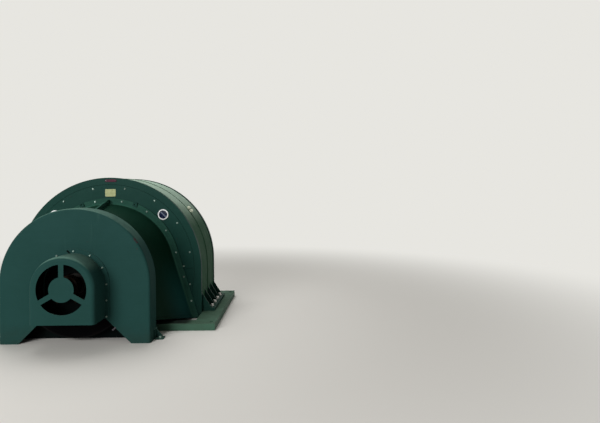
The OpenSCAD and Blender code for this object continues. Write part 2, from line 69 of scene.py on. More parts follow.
Colour = tuple[float, float, float]
Point = tuple[float, float, float]
Seat = tuple[Point, Point]
Material = bpy.types.Material
Socket = bpy.types.NodeSocket

BODY = "root"
SHAFT_Z = 0.604
WINDOW_X = 0.653
WINDOW_Z = 1.257
FORWARD = (0, -1, 0)
SHARP_ANGLE = 35.0


class Way(Enum):
    """One of two ways that a part of the machine looks, valued by its sign."""

    def __str__(self) -> str:
        """Its word in the names of pieces."""
        return self.name.lower()


class Side(Way):
    """A side of the machine, along X."""

    LEFT = -1
    RIGHT = 1


class End(Way):
    """An end of the machine, along Y."""

    FRONT = -1
    REAR = 1


# Shader maths.


@dataclass(frozen=True)
class Value:
    """One number that varies over a surface, as a socket that Python's operators work on."""

    tree: "Tree"
    socket: Socket

    def maths(self, operation: str, *others: "Value | float", clamp: bool = False) -> "Value":
        """Puts this value and others through a Math node.

        Args:
            operation: Name of the Math node's operation.
            others: The node's further inputs.
            clamp: Whether the result is held between 0 and 1.

        Returns:
            The node's result.
        """
        settings = {"operation": operation, "use_clamp": clamp}
        node = self.tree.node("ShaderNodeMath", settings, {0: self, **dict(enumerate(others, 1))})
        return Value(self.tree, node.outputs[0])

    def __add__(self, other: "Value | float") -> "Value":
        """Sum."""
        return self.maths("ADD", other)

    def __mul__(self, other: "Value | float") -> "Value":
        """Product."""
        return self.maths("MULTIPLY", other)

    __radd__ = __add__
    __rmul__ = __mul__

    def __sub__(self, other: "Value | float") -> "Value":
        """Difference."""
        return self.maths("SUBTRACT", other)

    def __rsub__(self, other: float) -> "Value":
        """Difference from a number."""
        return (self * -1.0).maths("ADD", other)

    def __abs__(self) -> "Value":
        """Distance from 0."""
        return self.maths("ABSOLUTE")

    def over(self, low: float, high: float) -> "Value":
        """Smooth step from 0 at low to 1 at high."""
        node = self.tree.node(
            "ShaderNodeMapRange",
            {"interpolation_type": "SMOOTHSTEP", "clamp": True},
            {"Value": self, "From Min": low, "From Max": high, "To Min": 0.0, "To Max": 1.0},
        )
        return Value(self.tree, node.outputs["Result"])

    def either(self, other: "Value | float") -> "Value":
        """The larger of two values."""
        return self.maths("MAXIMUM", other)

    def held(self) -> "Value":
        """This value held between 0 and 1."""
        return self.maths("ADD", 0.0, clamp=True)


def length(x: Value, z: Value) -> Value:
    """Length of the line whose two components are given."""
    return (x * x + z * z).maths("SQRT")


class Tree:
    """Node tree of one material or world, built through one method."""

    def __init__(self, owner: Material | bpy.types.World, output: str) -> None:
        """Empties the owner's tree and gives it an output.

        Args:
            owner: The material or world.
            output: Type name of its output node.
        """
        owner.use_nodes = True
        self.owner = owner
        self.nodes = owner.node_tree.nodes
        self.links = owner.node_tree.links
        self.nodes.clear()
        self.output = self.nodes.new(output)

    @classmethod
    def paint(cls, name: str) -> "Tree":
        """Starts the tree of a new material."""
        return cls(bpy.data.materials.new(name), "ShaderNodeOutputMaterial")

    def node(self, kind: str, settings: dict, sockets: dict) -> bpy.types.Node:
        """Adds a node.

        Args:
            kind: The node's type name.
            settings: Properties set before the sockets, which some of them change.
            sockets: Input names or numbers, with the value or the link that each takes.

        Returns:
            The new node.
        """
        made = self.nodes.new(kind)
        for name, value in settings.items():
            setattr(made, name, value)
        for name, value in sockets.items():
            if isinstance(value, Value):
                self.links.new(value.socket, made.inputs[name])
            elif isinstance(value, Socket):
                self.links.new(value, made.inputs[name])
            else:
                made.inputs[name].default_value = value
        return made

    def coordinates(self) -> Socket:
        """The object's own coordinates."""
        return self.node("ShaderNodeTexCoord", {}, {}).outputs["Object"]

    def place(self, scale: Point) -> Socket:
        """The object's own coordinates, scaled along each axis."""
        sockets = {"Vector": self.coordinates(), "Scale": scale}
        return self.node("ShaderNodeMapping", {"vector_type": "POINT"}, sockets).outputs[0]

    def noise(self, scale: float, detail: float, place: Socket | None = None,
              roughness: float = 0.55, distortion: float = 0.0) -> Value:
        """Noise between 0 and 1.

        Args:
            scale: Waves to the metre.
            detail: Octaves.
            place: Coordinates, or the object's own.
            roughness: Weight of the finer octaves.
            distortion: How far the pattern is pulled about.

        Returns:
            The noise.
        """
        made = self.node(
            "ShaderNodeTexNoise",
            {"noise_dimensions": "3D"},
            {"Vector": place or self.coordinates(), "Scale": scale, "Detail": detail,
             "Roughness": roughness, "Distortion": distortion},
        )
        return Value(self, made.outputs["Fac"])

    def speckle(self, scale: float) -> Value:
        """Distance to the nearest of many scattered points, in cells."""
        cells = self.node("ShaderNodeTexVoronoi", {"feature": "F1"},
                          {"Vector": self.coordinates(), "Scale": scale})
        return Value(self, cells.outputs["Distance"])

    def axis(self, vector: Socket, name: str) -> Value:
        """One component of a vector."""
        split = self.node("ShaderNodeSeparateXYZ", {}, {0: vector})
        return Value(self, split.outputs[name])

    def position(self, name: str) -> Value:
        """One coordinate of the object."""
        return self.axis(self.coordinates(), name)

    def facing(self, name: str) -> Value:
        """One component of the surface's normal."""
        return self.axis(self.node("ShaderNodeNewGeometry", {}, {}).outputs["Normal"], name)

    def mix(self, factor: "Value | float", first: "Socket | Colour",
            second: "Socket | Colour") -> Socket:
        """Mixes two colours.

        Args:
            factor: Share of the second colour.
            first: Colour or socket.
            second: Colour or socket.

        Returns:
            The mixed colour's socket.
        """
        low, high = ((*colour, 1.0) if isinstance(colour, tuple) else colour
                     for colour in (first, second))
        made = self.node(
            "ShaderNodeMix",
            {"data_type": "RGBA", "blend_type": "MIX", "clamp_factor": True},
            {0: factor, 6: low, 7: high},
        )
        return made.outputs[2]

    def away(self, point: Point) -> Value:
        """Distance of the surface from a point."""
        far = self.node("ShaderNodeVectorMath", {"operation": "DISTANCE"},
                        {0: self.coordinates(), 1: point})
        return Value(self, far.outputs["Value"])

    def within(self, name: str, low: float, high: float) -> Value:
        """1 where a coordinate lies between two limits, 0 elsewhere."""
        middle, half = (low + high) / 2, (high - low) / 2
        return abs(self.position(name) - middle).maths("LESS_THAN", half)

    def off_window(self) -> tuple[Value, Value]:
        """X and Z from the middle of the inspection window on the same side."""
        return abs(self.position("X")) - WINDOW_X, self.position("Z") - WINDOW_Z

    def bump(self, height: Value, distance: float, strength: float,
             under: Socket | None = None) -> Socket:
        """Turns a height into a normal.

        Args:
            height: Height between 0 and 1.
            distance: Depth of the pattern in metres.
            strength: Share of the effect.
            under: A normal that the bump is laid over.

        Returns:
            The normal's socket.
        """
        sockets = {"Height": height, "Distance": distance, "Strength": strength}
        if under is not None:
            sockets["Normal"] = under
        return self.node("ShaderNodeBump", {}, sockets).outputs["Normal"]

    def surface(self, **sockets: object) -> Material:
        """Closes the tree with a Principled shader.

        Args:
            sockets: Its inputs, with underscores for spaces.

        Returns:
            The finished material.
        """
        named = {name.replace("_", " "): value for name, value in sockets.items()}
        shader = self.node("ShaderNodeBsdfPrincipled", {}, named)
        self.links.new(shader.outputs["BSDF"], self.output.inputs["Surface"])
        return self.owner


# Finishes.


@dataclass(frozen=True)
class Enamel:
    """Brushed and sprayed machine enamel, with the marks of years in a power house, and painted
    light and shade on some faces.

    Attributes:
        dust_and_sheen_start: Upward share of the normal from which dirt lies and painted top light
            falls.
        dust_floor: Least share of them that lies there.
        lit_ends: Painted light: a lighter copy of the paint on the faces that look along the
            shaft.
        ridge: Half the width of the strip at the middle that has the same painted light.
        foot: Painted light on the lower sides, lighter towards the floor and strongest beside the
            stator.
        stator_y: Middle of the stator along the shaft.
        hood_shadow_area: Tops under the hoods where shadow is painted: their middle in Y, reach
            from it and half width.
        scuffs: Middle and reach of each place where the paint is rubbed off.
        insides: Radius, near and far Y of each shut inside, where shade is painted.
    """

    name: str
    colour: Colour
    shade: Colour
    dust: Colour
    dust_and_sheen_amount: float
    chips: float
    gloss: float
    dust_and_sheen_start: float = 0.45
    dust_floor: float = 0.0
    grime: float = 0.5
    roughness: float = 0.38
    lit_ends: Colour | None = None
    ridge: float = 0.0
    foot: Colour | None = None
    stator_y: float = 0.378
    hood_shadow_area: tuple[float, float, float] | None = None
    scuffs: tuple[tuple[Point, float], ...] = ()
    insides: tuple[tuple[float, float, float], ...] = ()
    primer: Colour = (0.046, 0.018, 0.022)
    dirt: Colour = (0.026, 0.024, 0.016)
    # Near-black colour of the painted shadow under the hoods.
    oil: Colour = (0.0022, 0.0026, 0.0026)
    unlit: Colour = (0.0010, 0.0013, 0.0014)

    def fresh(self, tree: Tree, tone: Value, clouds: Value) -> Socket:
        """Lays the paint itself, with painted light on the lower sides and on the faces along the
        shaft, and a painted highlight on the fillets.

        Args:
            tree: The material's tree.
            tone: Share of the darker tone.
            clouds: The widest noise.

        Returns:
            The colour.
        """
        paint = tree.mix(tone * 0.45, self.colour, self.shade)
        # Painted light from the floor: the lower sides turn lighter towards the floor, most beside
        # the stator.
        if self.foot:
            off = abs(tree.position("Y") - self.stator_y)
            painted_floor_light = (1.0 - off.over(0.55, 1.05)) * (1.0 - tree.position("Z").over(0.08, 0.85))
            paint = tree.mix((painted_floor_light * (0.8 + clouds * 0.4)).held(), paint, self.foot)
        # Painted light: the faces along the shaft and the ridge's strip take a lighter copy of the
        # paint.
        if self.lit_ends:
            endways = abs(tree.facing("Y"))
            along = endways.over(0.36, 0.80).either(tree.within("X", -self.ridge, self.ridge))
            paint = tree.mix(along, paint, tree.mix(tone * 0.4, self.lit_ends, self.shade))
            # Painted highlight along the fillets, in the pale colour of the tops.
            painted_fillet_highlight = endways.over(0.30, 0.55) * (1.0 - endways.over(0.80, 0.93))
            paint = tree.mix(painted_fillet_highlight * 0.45, paint, self.dust)
        return paint

    def worn(self, tree: Tree, clouds: Value) -> Value:
        """Finds where the paint is chipped, scratched or rubbed off.

        Args:
            tree: The material's tree.
            clouds: The widest noise.

        Returns:
            Share of the primer that shows.
        """
        fleck = (1.0 - tree.speckle(7.5).over(0.035, 0.055)) * clouds.over(0.50, 0.56)
        scratch = tree.noise(30.0, 4.0, tree.place((1.0, 1.0, 3.0)), distortion=1.2)
        worn = (fleck + scratch.over(0.735, 0.76)).held() * self.chips
        for point, reach in self.scuffs:
            torn = tree.away(point) + (scratch - 0.5) * reach * 2.2
            worn = worn.either(1.0 - torn.over(reach * 0.75, reach))
        return worn

    def painted_hood_shadow(self, tree: Tree, patches: Value) -> Value:
        """Finds the tops below the hoods, where shadow is painted.

        Args:
            tree: The material's tree.
            patches: The middling noise.

        Returns:
            Share of the painted shadow.
        """
        middle, start, width = self.hood_shadow_area
        uneven = (patches - 0.5) * 0.10
        off = abs(tree.position("Y") - middle) + uneven * 0.2
        wide = abs(tree.position("X")) + uneven
        under = (1.0 - off.over(start, start + 0.03)) * (1.0 - wide.over(width - 0.09, width))
        under = under * tree.facing("Z").over(0.85, 0.95) * (0.7 + patches * 0.5)
        return under.held() * 0.93

    def shut(self, tree: Tree) -> Value:
        """Finds the inner faces, where shade is painted.

        They look towards the shaft's axis or, below it, towards the middle plane.

        Args:
            tree: The material's tree.

        Returns:
            Share of the painted shade.
        """
        x, rise = tree.position("X"), (tree.position("Z") - SHAFT_Z).either(0.0)
        normal = tree.node("ShaderNodeNewGeometry", {}, {}).outputs["True Normal"]
        inward = 0.0 - (x * tree.axis(normal, "X") + rise * tree.axis(normal, "Z"))
        inner = inward.maths("GREATER_THAN", 0.04)
        for radius, near, far in self.insides:
            closed = length(x, rise).maths("LESS_THAN", radius) * tree.within("Y", near, far)
            inner = inner.either(closed * inward.maths("GREATER_THAN", -0.02))
        return inner * 0.96

    def material(self) -> Material:
        """Builds the paint.

        Returns:
            The material.
        """
        tree = Tree.paint(self.name)
        clouds = tree.noise(2.6, 4.0)
        patches = tree.noise(11.0, 5.0, distortion=0.4)
        strokes = tree.noise(1.0, 4.0, tree.place((3.0, 3.0, 75.0)), roughness=0.7)
        tone = (clouds.over(0.30, 0.72) * 0.50 + patches.over(0.35, 0.70) * 0.25
                + strokes.over(0.35, 0.68) * 0.25).held()
        paint = self.fresh(tree, tone, clouds)
        runs = tree.noise(9.0, 3.0, tree.place((1.0, 1.0, 0.07)))
        upright = 1.0 - abs(tree.facing("Z")).over(0.25, 0.7)
        paint = tree.mix(runs.over(0.60, 0.78) * upright * 0.22, paint, self.dust)
        # Pale tops: dirt lying on faces that look up, and painted top light where light falls on
        # them.
        up = tree.facing("Z").over(self.dust_and_sheen_start, self.dust_and_sheen_start + 0.35)
        film = (patches * 0.7 + clouds * 0.8).over(0.30, 0.85)
        film = film * (1.0 - self.dust_floor) + self.dust_floor
        dust_and_top_sheen = (up * film * self.dust_and_sheen_amount).held()
        paint = tree.mix(dust_and_top_sheen, paint, self.dust)
        low = 1.0 - tree.position("Z").over(0.0, 0.26)
        dirt = (low * (patches * 0.8 + clouds * 0.5).over(0.38, 0.80) * self.grime).held()
        paint = tree.mix(dirt, paint, self.dirt)
        # Painted shadow on the tops under the hoods.
        if self.hood_shadow_area:
            paint = tree.mix(self.painted_hood_shadow(tree, patches), paint, self.oil)
        worn = self.worn(tree, clouds)
        paint = tree.mix(worn, paint, self.primer)
        # Painted shade on the inner faces and the shut insides.
        if self.insides:
            paint = tree.mix(self.shut(tree), paint, self.unlit)
        rough = (self.roughness + tone * 0.10 + dust_and_top_sheen * 0.35 + dirt * 0.25 + worn * 0.3).held()
        waves = tree.bump(tree.noise(5.0, 2.0), 0.004, 0.35)
        grain = tree.noise(70.0, 2.0) * 0.4 + tree.noise(240.0, 2.0) * 0.3
        peel = tree.bump(grain + strokes * 0.5 - worn * 0.6, 0.0006, 0.35, waves)
        return tree.surface(Base_Color=paint, Roughness=rough, Normal=peel,
                            Specular_IOR_Level=self.gloss)


@dataclass(frozen=True)
class TurnedSteel:
    """Bare steel with the fine rings of the lathe round the shaft's axis, and painted shade inside
    the covers.
    """

    name: str
    colour: Colour = (0.46, 0.45, 0.43)
    stain: Colour = (0.16, 0.12, 0.08)
    roughness: float = 0.30
    oil: float = 0.35
    cover_shade: Colour = (0.012, 0.011, 0.010)
    cover_shade_y: float = -0.86

    def material(self) -> Material:
        """Builds the steel.

        Returns:
            The material.
        """
        tree = Tree.paint(self.name)
        rings = tree.noise(1.0, 2.0, tree.place((6.0, 420.0, 6.0)))
        stains = tree.noise(14.0, 5.0, distortion=0.6)
        spread = stains.over(0.45, 0.75) * self.oil
        colour = tree.mix(spread, self.colour, self.stain)
        colour = tree.mix(rings.over(0.35, 0.65) * 0.18, colour, (0.62, 0.61, 0.59))
        # Painted shade: the steel inside the covers, towards the slip ring end, is near black.
        painted_cover_shade = 1.0 - tree.position("Y").over(self.cover_shade_y - 0.05, self.cover_shade_y)
        colour = tree.mix(painted_cover_shade * 0.96, colour, self.cover_shade)
        rough = (self.roughness + spread * 0.35 + rings * 0.12 + painted_cover_shade * 0.3).held()
        normal = tree.bump(rings, 0.0003, 0.5)
        return tree.surface(Base_Color=colour, Roughness=rough, Normal=normal, Metallic=1.0)


@dataclass(frozen=True)
class ZincFastener:
    """Zinc plated screws and clamps, dulled by tarnish in spots."""

    name: str
    colour: Colour = (0.200, 0.275, 0.240)
    tarnish: Colour = (0.055, 0.082, 0.066)
    roughness: float = 0.44
    metallic: float = 0.6

    def material(self) -> Material:
        """Builds the plating.

        Returns:
            The material.
        """
        tree = Tree.paint(self.name)
        spots = tree.noise(38.0, 4.0, distortion=0.5)
        dull = spots.over(0.42, 0.68)
        colour = tree.mix(dull * 0.65, self.colour, self.tarnish)
        rough = (self.roughness + dull * 0.30).held()
        normal = tree.bump(tree.noise(300.0, 2.0), 0.0002, 0.5)
        return tree.surface(Base_Color=colour, Roughness=rough, Normal=normal,
                            Metallic=self.metallic)


@dataclass(frozen=True)
class CastIron:
    """Sand cast iron, turned brighter on the rim, both painted near black as the shade inside the
    flywheel's cover.
    """

    name: str
    # Painted shade: the iron's colours are near black for the dark inside the cover.
    colour: Colour = (0.0012, 0.0012, 0.0015)
    rim: Colour = (0.0034, 0.0034, 0.0036)
    rim_from: float = 0.545

    def material(self) -> Material:
        """Builds the casting.

        Returns:
            The material.
        """
        tree = Tree.paint(self.name)
        radius = length(tree.position("X"), tree.position("Z") - SHAFT_Z)
        turned = radius.over(self.rim_from, self.rim_from + 0.004)
        clouds = tree.noise(9.0, 5.0, distortion=0.3)
        colour = tree.mix(turned, self.colour, self.rim)
        colour = tree.mix(clouds.over(0.48, 0.78) * 0.6, colour, (0.004, 0.0026, 0.002))
        rough = (0.62 - turned * 0.22 + clouds * 0.15).held()
        sand = tree.noise(160.0, 3.0) * (1.0 - turned * 0.85)
        return tree.surface(Base_Color=colour, Roughness=rough,
                            Normal=tree.bump(sand, 0.0012, 0.7), Specular_IOR_Level=0.008)


@dataclass(frozen=True)
class SlipRingMetal:
    """Bronze rings with the tracks of the brushes, or the brass of the brush holders, both painted
    near black as the shade inside their cover.
    """

    name: str
    colour: Colour
    track: Colour
    roughness: float = 0.5

    def material(self) -> Material:
        """Builds the metal.

        Returns:
            The material.
        """
        tree = Tree.paint(self.name)
        tracks = tree.noise(1.0, 3.0, tree.place((3.0, 300.0, 3.0)))
        smuts = tree.noise(22.0, 4.0)
        colour = tree.mix(tracks.over(0.40, 0.62) * 0.7, self.colour, self.track)
        colour = tree.mix(smuts.over(0.5, 0.8) * 0.5, colour, (0.05, 0.045, 0.04))
        rough = (self.roughness + tracks * 0.2 + smuts * 0.15).held()
        return tree.surface(Base_Color=colour, Roughness=rough, Metallic=1.0,
                            Normal=tree.bump(tracks, 0.0003, 0.6))


@dataclass(frozen=True)
class WhiteRing:
    """White lacquer on the turned window frames, with a dark rubber seal round the glass."""

    name: str
    colour: Colour = (0.72, 0.74, 0.74)
    rubber: Colour = (0.005, 0.007, 0.012)
    rubber_reach: float = 0.0505
    fuzz: float = 0.001

    def material(self) -> Material:
        """Builds the lacquer.

        Returns:
            The material.
        """
        tree = Tree.paint(self.name)
        dirt = tree.noise(42.0, 4.0, distortion=0.4)
        colour = tree.mix(dirt.over(0.5, 0.82) * 0.5, self.colour, (0.34, 0.36, 0.33))
        reach = length(*tree.off_window())
        seal = 1.0 - reach.over(self.rubber_reach - self.fuzz, self.rubber_reach + self.fuzz)
        colour = tree.mix(seal, colour, self.rubber)
        rough = (0.42 + dirt * 0.2 + seal * 0.2).held()
        return tree.surface(Base_Color=colour, Roughness=rough,
                            Normal=tree.bump(dirt, 0.0004, 0.3))


@dataclass(frozen=True)
class SightGlass:
    """Dark blue glass of the inspection windows over an unlit inside, with a painted reflection: a
    pale diagonal band and faint patches.
    """

    name: str
    colour: Colour = (0.006, 0.010, 0.038)
    painted_glint: Colour = (0.17, 0.20, 0.27)
    painted_streak_off: float = 0.008

    def material(self) -> Material:
        """Builds the glass.

        Returns:
            The material.
        """
        tree = Tree.paint(self.name)
        film = tree.noise(26.0, 3.0, distortion=0.8)
        across, rise = tree.off_window()
        # Painted reflection: a pale band across the glass and faint patches.
        aslant = across * 0.70 + rise * 0.72 + film * 0.012
        painted_streak = 1.0 - abs(aslant - self.painted_streak_off).over(0.003, 0.011)
        painted_glint = (painted_streak * 0.85 + film.over(0.5, 0.8) * 0.12).held()
        colour = tree.mix(painted_glint, self.colour, self.painted_glint)
        rough = (0.05 + film.over(0.45, 0.9) * 0.16).held()
        return tree.surface(Base_Color=colour, Roughness=rough,
                            Normal=tree.bump(tree.noise(9.0, 1.0), 0.002, 0.25),
                            Specular_IOR_Level=0.6, Coat_Weight=0.6, Coat_Roughness=0.03)


@dataclass(frozen=True)
class PlateLacquer:
    """Lacquer on a thin plate, soiled in patches."""

    name: str
    colour: Colour
    soil: Colour
    gloss: float = 0.10

    def material(self) -> Material:
        """Builds the lacquer.

        Returns:
            The material.
        """
        tree = Tree.paint(self.name)
        clouds = tree.noise(34.0, 4.0)
        fine = tree.noise(190.0, 2.0)
        colour = tree.mix(clouds.over(0.42, 0.75) * 0.5, self.colour, self.soil)
        rough = (0.40 + clouds * 0.22).held()
        return tree.surface(Base_Color=colour, Roughness=rough, Specular_IOR_Level=self.gloss,
                            Normal=tree.bump(fine, 0.0002, 0.4))


class Finish(Enum):
    """Every finish on the machine, by the maker's name for it."""

    COVER = Enamel("cover_enamel", (0.0142, 0.049, 0.044), (0.0092, 0.036, 0.030),
                   # Pale tops: dirt and painted top light.
                   dust=(0.110, 0.205, 0.165), dust_and_sheen_amount=0.62, chips=0.8, grime=0.20,
                   gloss=0.015,
                   scuffs=(((0.628, -1.087, 1.062), 0.024), ((0.650, -1.087, 1.034), 0.022),
                           ((0.669, -1.087, 1.008), 0.016), ((0.762, -1.085, 0.786), 0.012)),
                   # Painted shade inside the slip ring cover and the flywheel cover.
                   insides=((0.300, -1.100, -1.070), (0.7655, -1.080, -0.8785)))
    STATOR = Enamel("stator_enamel", (0.0095, 0.043, 0.034), (0.0070, 0.033, 0.025),
                    dust=(0.040, 0.080, 0.062), dust_and_sheen_amount=0.35, chips=0.5, grime=0.20,
                    gloss=0.025)
    # Painted shade: the hood's paint is a darker copy of the machine's green, with painted light
    # on the faces along the shaft, the ridge, the lower sides and the fillets.
    HOOD = Enamel("hood_enamel", (0.0030, 0.0185, 0.0100), (0.0013, 0.0100, 0.0055),
                  dust=(0.030, 0.100, 0.070), dust_and_sheen_amount=0.12, chips=0.3, grime=0.08,
                  roughness=0.36, gloss=0.008, lit_ends=(0.0230, 0.078, 0.057), ridge=0.0135,
                  foot=(0.010, 0.058, 0.054))
    WRAPPER = Enamel("wrapper_enamel", (0.025, 0.080, 0.043), (0.018, 0.060, 0.032),
                     # Pale top: dirt and painted top light.
                     dust=(0.40, 0.53, 0.43), dust_and_sheen_amount=0.9, dust_and_sheen_start=0.42, dust_floor=0.62,
                     chips=0.3, roughness=0.50, gloss=0.014)
    BED = Enamel("bedplate_enamel", (0.048, 0.116, 0.078), (0.036, 0.088, 0.058),
                 dust=(0.066, 0.118, 0.080), dust_and_sheen_amount=0.55, chips=0.8, grime=0.22,
                 roughness=0.45, gloss=0.07, hood_shadow_area=(0.258, 0.862, 1.10))
    STEEL = TurnedSteel("turned_steel")
    ZINC = ZincFastener("zinc_fasteners")
    TAB = ZincFastener("dull_tab", (0.046, 0.037, 0.046), (0.020, 0.017, 0.019), 0.5, 0.2)
    CLAMP = ZincFastener("pale_clamps", (0.80, 0.84, 0.68), (0.46, 0.48, 0.36), 0.5, 0.1)
    WHEEL = CastIron("cast_wheel_iron_painted_shade")
    # Painted shade: the bronze and the brass are near black for the dark inside the slip ring
    # cover.
    RINGS = SlipRingMetal("slip_ring_bronze", (0.012, 0.007, 0.0045), (0.005, 0.0035, 0.003))
    BRUSHES = SlipRingMetal("brush_holder_brass", (0.012, 0.008, 0.005), (0.005, 0.004, 0.003))
    WINDOW = WhiteRing("window_lacquer")
    GLASS = SightGlass("sight_glass")
    CLIP = PlateLacquer("dark_clip_paint", (0.0035, 0.009, 0.008), (0.002, 0.004, 0.004), 0.01)
    YELLOW = PlateLacquer("yellow_plate_lacquer", (0.37, 0.40, 0.20), (0.20, 0.21, 0.10))
    RED = PlateLacquer("red_plate_lacquer", (0.078, 0.024, 0.040), (0.030, 0.030, 0.034), 0.04)

    @cache
    def material(self) -> Material:
        """The finish's material, made when it is first asked for."""
        return self.value.material()


def dress(finish: Finish, *nodes: str) -> None:
    """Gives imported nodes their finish.

    Args:
        finish: The finish.
        nodes: Names of the nodes.
    """
    for node in nodes:
        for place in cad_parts[node].material_slots:
            place.material = finish.material()
        log.info("%s: packed node in %s", node, finish.name.lower())


# Mesh work.


@dataclass
class Piece:
    """A mesh under work, which becomes one object on the machine."""

    name: str
    finish: Finish
    slot: str
    mesh: bmesh.types.BMesh = field(default_factory=bmesh.new)

    def finished(self) -> None:
        """Turns the mesh into an object that rides with the machine."""
        bmesh.ops.recalc_face_normals(self.mesh, faces=self.mesh.faces)
        data = bpy.data.meshes.new(self.name)
        self.mesh.to_mesh(data)
        self.mesh.free()
        data.materials.append(self.finish.material())
        data.shade_smooth()
        data.set_sharp_from_angle(angle=math.radians(SHARP_ANGLE))
        made = bpy.data.objects.new(self.name, data)
        bpy.context.scene.collection.objects.link(made)
        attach(made, BODY)
        log.info("%s: %d faces", self.name, len(data.polygons))

    def rod(self, place: Matrix, radius: float, height: float, sides: int,
            chamfer: float) -> None:
        """Adds a round or many-sided bar standing on the place's plane.

        Args:
            place: Where its foot is and which way it points.
            radius: Its radius to the corners.
            height: Its height.
            sides: Number of sides.
            chamfer: Chamfer on its far edge.
        """
        made = bmesh.ops.create_cone(
            self.mesh, cap_ends=True, segments=sides, radius1=radius, radius2=radius,
            depth=height, matrix=place @ Matrix.Translation((0, 0, height / 2)))["verts"]
        up, foot = place.col[2].xyz, place.translation
        edges = [e for e in {e for v in made for e in v.link_edges}
                 if all((v.co - foot).dot(up) > height * 0.9 for v in e.verts)]
        bmesh.ops.bevel(self.mesh, geom=edges, offset=chamfer, affect="EDGES", segments=1,
                        profile=0.5, material=-1)

    def plate(self, place: Matrix, size: Point, corner: float, steps: int, edge: float) -> None:
        """Adds a flat plate with rounded corners, standing on the place's plane.

        Args:
            place: Its middle and the way that its face looks.
            size: Its width, height and thickness.
            corner: Radius of its corners.
            steps: Segments in each corner.
            edge: Small round on the edge of its face.
        """
        shift = Matrix.Translation((0, 0, size[2] / 2)) @ Matrix.Diagonal((*size, 1.0))
        made = bmesh.ops.create_cube(self.mesh, size=1.0, matrix=place @ shift)["verts"]
        up, foot = place.col[2].xyz, place.translation
        edges = {e for v in made for e in v.link_edges}
        upright = [e for e in edges
                   if abs((e.verts[0].co - e.verts[1].co).normalized().dot(up)) > 0.9]
        bent = bmesh.ops.bevel(self.mesh, geom=upright, offset=corner, affect="EDGES",
                               segments=steps, profile=0.5, material=-1)
        near = {e for f in bent["faces"] for e in f.edges} | {
            e for v in made if v.is_valid for e in v.link_edges}
        brim = [e for e in near if e.is_valid
                and all((v.co - foot).dot(up) > size[2] * 0.9 for v in e.verts)]
        bmesh.ops.bevel(self.mesh, geom=brim, offset=edge, affect="EDGES", segments=2,
                        profile=0.5, material=-1)


def facing(point: Point, towards: Point, spin: float = 0.0) -> Matrix:
    """A place whose Z axis points in a given direction.

    Args:
        point: Its origin.
        towards: The direction.
        spin: Turn round that direction, in radians.

    Returns:
        The place as a matrix.
    """
    turn = Vector(towards).to_track_quat("Z", "Y").to_matrix().to_4x4()
    return Matrix.Translation(point) @ turn @ Matrix.Rotation(spin, 4, "Z")


def round_shaft(radius: float, degrees: float) -> tuple[float, float]:
    """X and Z of a point at a radius from the shaft and an angle from the vertical."""
    angle = math.radians(degrees)
    return radius * math.sin(angle), SHAFT_Z + radius * math.cos(angle)


# Sub-assemblies.


@dataclass(frozen=True)
class Screws:
    """Hexagon screws with washers on one joint of the machine.

    Attributes:
        flats: Width across the flats, of which all further sizes are shares.
    """

    name: str
    flats: float
    finish: Finish = Finish.ZINC
    slot: str = "bare_steel"
    seed: int = 5
    washer: bool = True
    washer_radius: float = 0.66
    washer_thickness: float = 0.12
    washer_chamfer: float = 0.036
    washer_sides: int = 20
    corner_radius: float = 0.577
    head_height: float = 0.62
    head_chamfer: float = 0.06

    def build(self, seats: Iterable[Seat]) -> None:
        """Drives one screw at each seat, each with its own turn.

        Args:
            seats: Pairs of a point and the direction of the screw's head.
        """
        chance = random.Random(self.seed)
        piece = Piece(self.name, self.finish, self.slot)
        for point, towards in seats:
            place = facing(point, towards, chance.uniform(0, math.pi / 3))
            if self.washer:
                thickness = self.flats * self.washer_thickness
                piece.rod(place, self.flats * self.washer_radius, thickness, self.washer_sides,
                          self.flats * self.washer_chamfer)
                place = place @ Matrix.Translation((0, 0, thickness))
            piece.rod(place, self.flats * self.corner_radius, self.flats * self.head_height, 6,
                      self.flats * self.head_chamfer)
        piece.finished()


